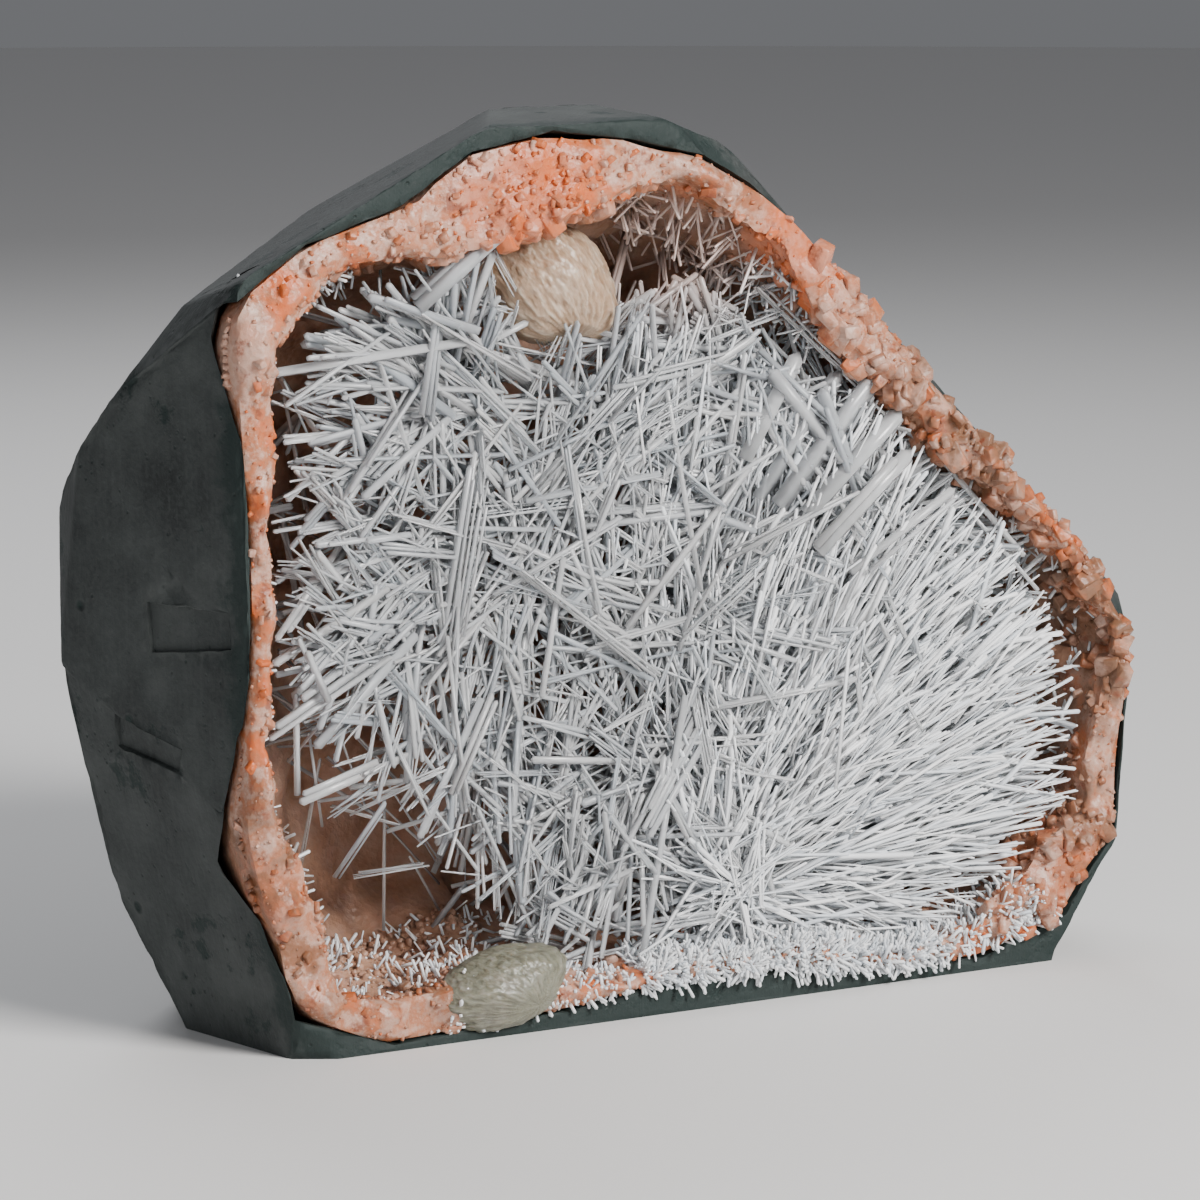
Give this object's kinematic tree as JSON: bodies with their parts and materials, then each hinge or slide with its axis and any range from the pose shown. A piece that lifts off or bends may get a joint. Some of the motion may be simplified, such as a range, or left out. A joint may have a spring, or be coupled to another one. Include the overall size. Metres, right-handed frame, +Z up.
{
  "type": "scolecite geode",
  "caption": "Open half of a basalt nodule, ground flat outside, its hollow lined with a peach zeolite crust and filled with clear needle crystals.",
  "frame": {"origin": "middle of the base of the object's box, on the surface that it stands on", "axes": "+X to the right along the open face, +Y back into the rock, +Z up"},
  "size_m": [0.1678, 0.0862, 0.1323],
  "materials": {
    "basalt": "ground, matt",
    "zeolite crystals": "crystalline, satin",
    "heulandite": "pearly, peach to orange",
    "scolecite": "glassy, clear to white",
    "stilbite": "silky, cream"
  },
  "bodies": {
    "root": {"basalt_shell": "basalt", "crystal_crust": "zeolite crystals"}
  },
  "joints": []
}
